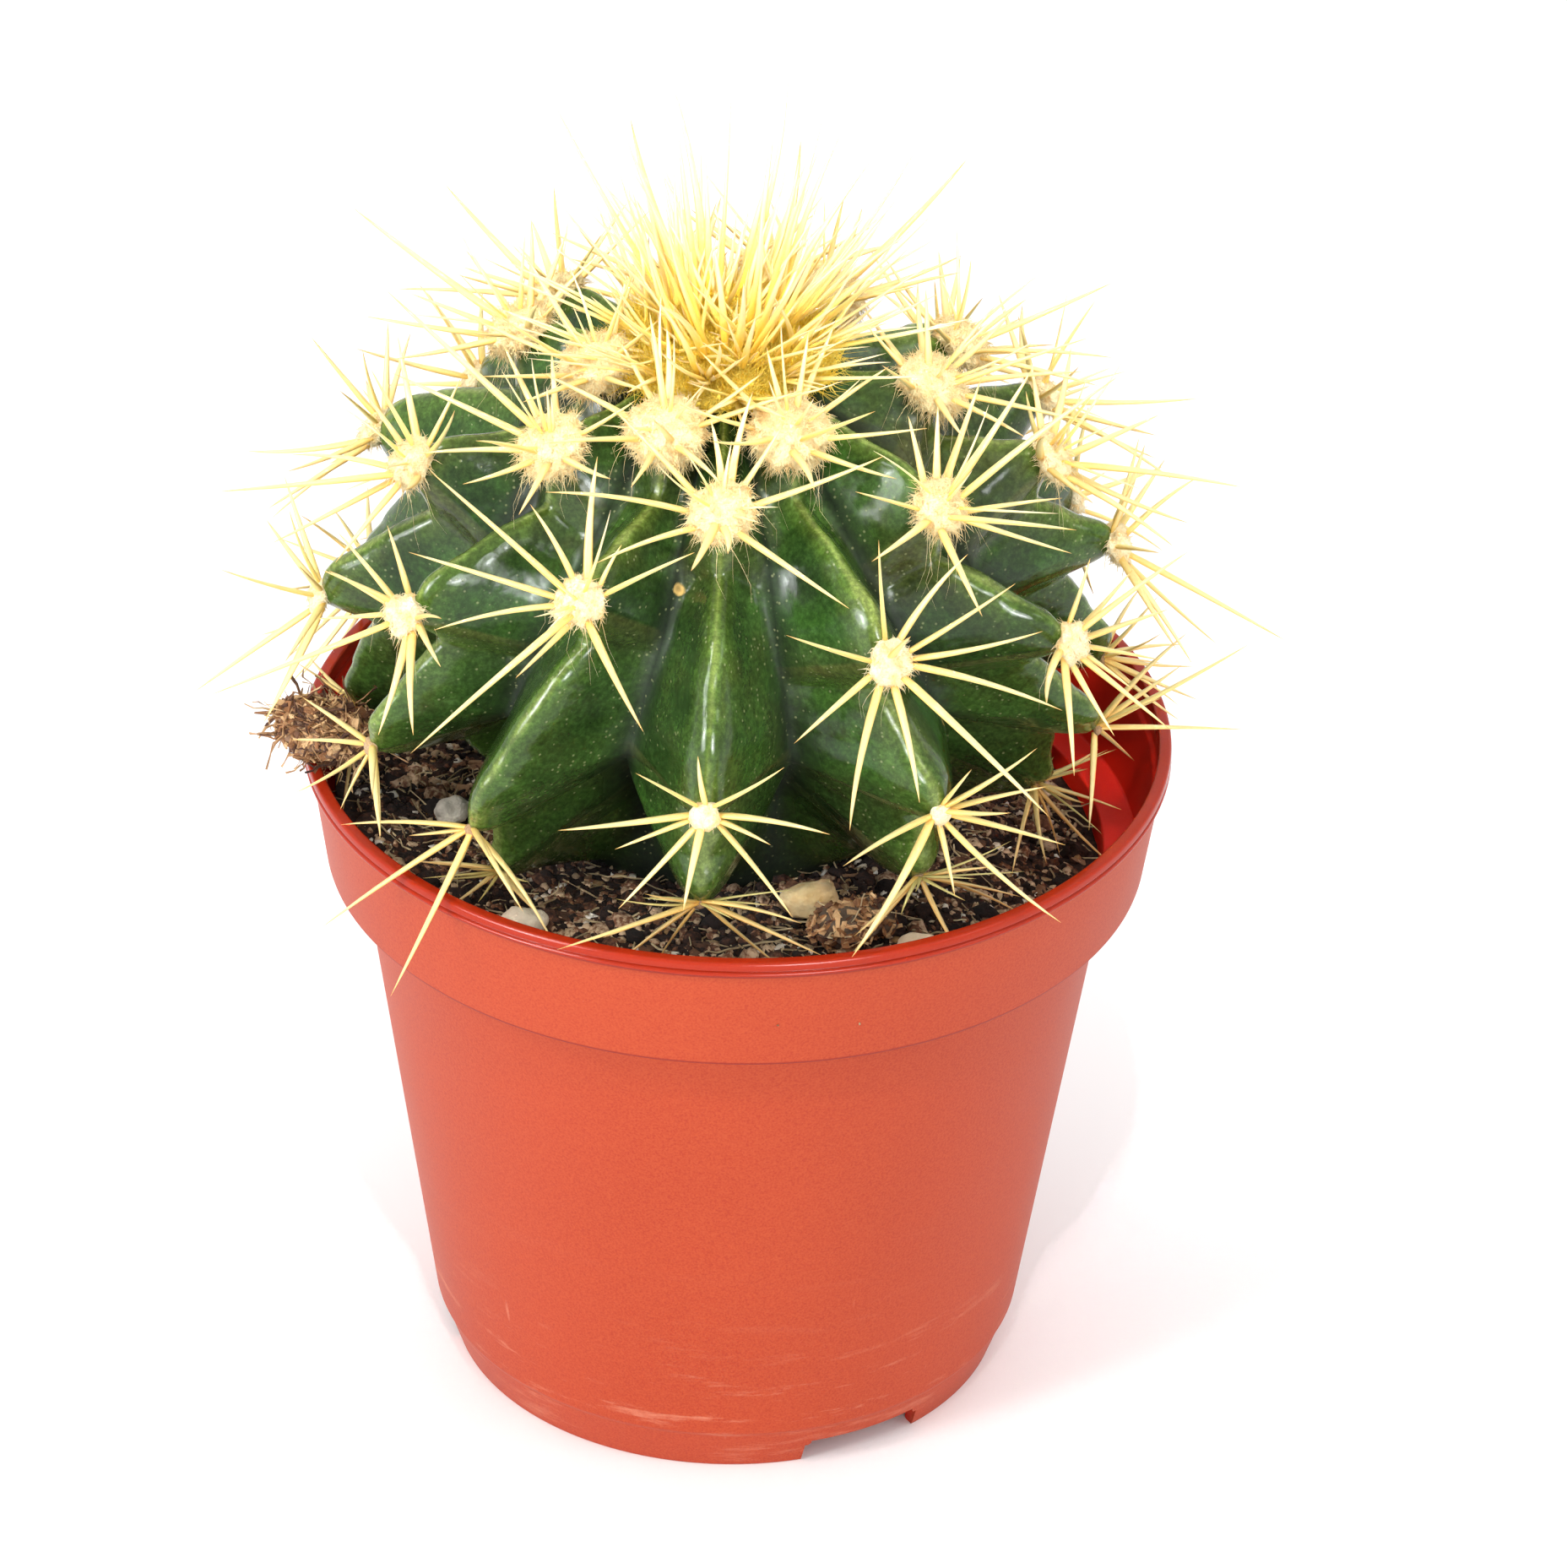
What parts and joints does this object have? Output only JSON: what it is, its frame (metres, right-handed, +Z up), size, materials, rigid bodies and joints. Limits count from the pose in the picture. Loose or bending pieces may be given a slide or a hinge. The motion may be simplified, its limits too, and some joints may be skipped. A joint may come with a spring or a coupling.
{
  "type": "potted round cactus",
  "caption": "Round ribbed barrel cactus with woolly spine clusters, growing in a tapered terracotta-coloured plastic nursery pot filled with soil.",
  "frame": {"origin": "middle of the pot's foot ring, on the surface the pot stands on", "axes": "+Z up through the plant; -Y is the front of the pot, the side the crown leans to; +X is to the right seen from the front"},
  "size_m": [0.148, 0.148, 0.197],
  "materials": {
    "terracotta_plastic": "satin",
    "potting_soil": "matte",
    "green_skin": "satin",
    "straw_spines": "matte",
    "crown_wool": "matte",
    "tan_stone": "matte",
    "pale_stone": "matte",
    "dark_bark": "matte",
    "brown_bark": "matte"
  },
  "bodies": {
    "root": {"bark_clump": "brown_bark", "bark_lump": "dark_bark", "cactus_stem": "green_skin", "crown": "crown_wool", "pot": "terracotta_plastic", "soil": "potting_soil", "spines_a1": "straw_spines", "spines_a2": "straw_spines", "spines_a3": "straw_spines", "spines_b1": "straw_spines", "spines_b2": "straw_spines", "spines_b3": "straw_spines", "spines_b4": "straw_spines", "spines_c1": "straw_spines", "spines_c2": "straw_spines", "spines_c3": "straw_spines", "spines_c4": "straw_spines", "spines_d1": "straw_spines", "spines_d2": "straw_spines", "spines_d3": "straw_spines", "spines_d4": "straw_spines", "spines_e1": "straw_spines", "spines_e2": "straw_spines", "spines_e3": "straw_spines", "spines_e4": "straw_spines", "spines_f1": "straw_spines", "spines_f2": "straw_spines", "spines_f3": "straw_spines", "spines_f4": "straw_spines", "spines_g1": "straw_spines", "spines_g2": "straw_spines", "spines_g3": "straw_spines", "spines_h1": "straw_spines", "spines_h2": "straw_spines", "spines_h3": "straw_spines", "spines_h4": "straw_spines", "spines_i1": "straw_spines", "spines_i2": "straw_spines", "spines_i3": "straw_spines", "spines_j1": "straw_spines", "spines_j2": "straw_spines", "spines_j3": "straw_spines", "spines_k1": "straw_spines", "spines_k2": "straw_spines", "spines_k3": "straw_spines", "spines_k4": "straw_spines", "spines_l1": "straw_spines", "spines_l2": "straw_spines", "spines_l3": "straw_spines", "spines_m1": "straw_spines", "spines_m2": "straw_spines", "spines_m3": "straw_spines", "spines_m4": "straw_spines", "stone_pale_back": "pale_stone", "stone_pale_left": "pale_stone", "stone_pale_right": "pale_stone", "stone_tan": "tan_stone"}
  },
  "joints": []
}
